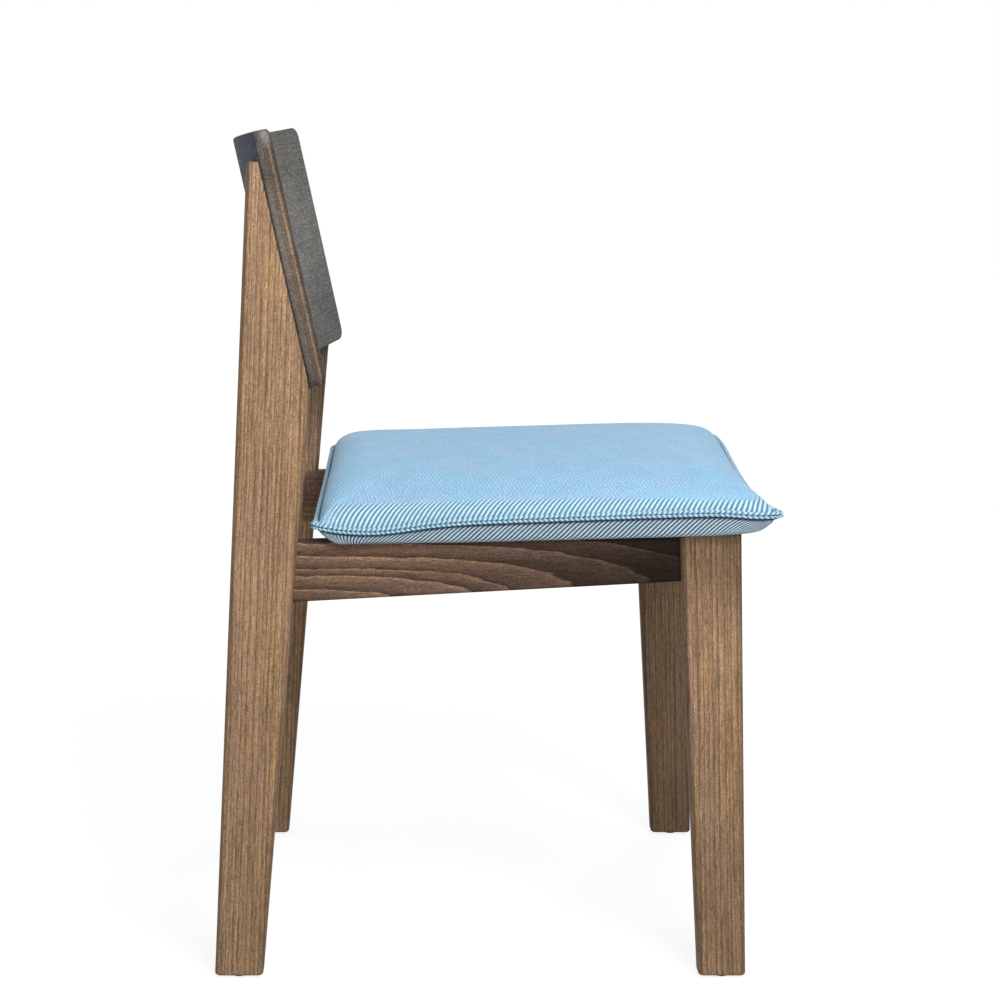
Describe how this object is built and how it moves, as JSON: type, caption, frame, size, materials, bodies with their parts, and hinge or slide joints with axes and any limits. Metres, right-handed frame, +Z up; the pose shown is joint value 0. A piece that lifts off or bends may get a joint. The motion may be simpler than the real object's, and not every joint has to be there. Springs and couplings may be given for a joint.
{
  "type": "upholstered dining chair",
  "caption": "Armless dining chair with a plank-legged wooden frame, a bent plywood back panel and a crowned, welted seat pad in light blue fabric.",
  "frame": {"origin": "on the floor, under the middle of the chair's box", "axes": "+X to the sitter's left, -Y the way the sitter faces, +Z up"},
  "size_m": [0.46, 0.5299, 0.7979],
  "materials": {
    "leg_wood": "satin, stained",
    "rail_wood": "satin, stained darker",
    "panel_wood": "satin, stained plywood",
    "block_wood": "sawn, raw",
    "plug_wood": "satin, stained",
    "dowel_beech": "fluted, raw",
    "board_plywood": "raw plywood",
    "screw_steel": "yellow zinc",
    "staple_steel": "galvanised",
    "glide_nylon": "matt",
    "seat_foam": "open-cell foam",
    "seat_fabric": "light blue diagonal rib",
    "dust_cloth": "non-woven"
  },
  "bodies": {
    "root": {"rear_leg_left": "leg_wood", "rear_leg_right": "leg_wood", "front_leg_left": "leg_wood", "front_leg_right": "leg_wood", "side_rail_left": "rail_wood", "side_rail_right": "rail_wood", "front_rail": "rail_wood", "rear_rail": "rail_wood", "corner_block_left": "block_wood", "corner_block_right": "block_wood", "seat_cleat_left": "block_wood", "seat_cleat_right": "block_wood", "backrest_panel": "panel_wood", "backrest_screw_plugs": "plug_wood", "backrest_screws": "screw_steel", "corner_block_screws": "screw_steel", "cleat_screws": "screw_steel", "seat_screws": "screw_steel", "side_rail_dowels_left": "dowel_beech", "side_rail_dowels_right": "dowel_beech", "front_rail_dowels": "dowel_beech", "rear_rail_dowels": "dowel_beech", "foot_glide_front_left": "glide_nylon", "foot_glide_front_right": "glide_nylon", "foot_glide_rear_left": "glide_nylon", "foot_glide_rear_right": "glide_nylon", "seat_board": "board_plywood", "seat_foam": "seat_foam", "seat_cover_top": "seat_fabric", "seat_cover_bottom": "seat_fabric", "seat_welt": "seat_fabric", "dust_cover": "dust_cloth", "seat_staples": "staple_steel"}
  },
  "joints": []
}
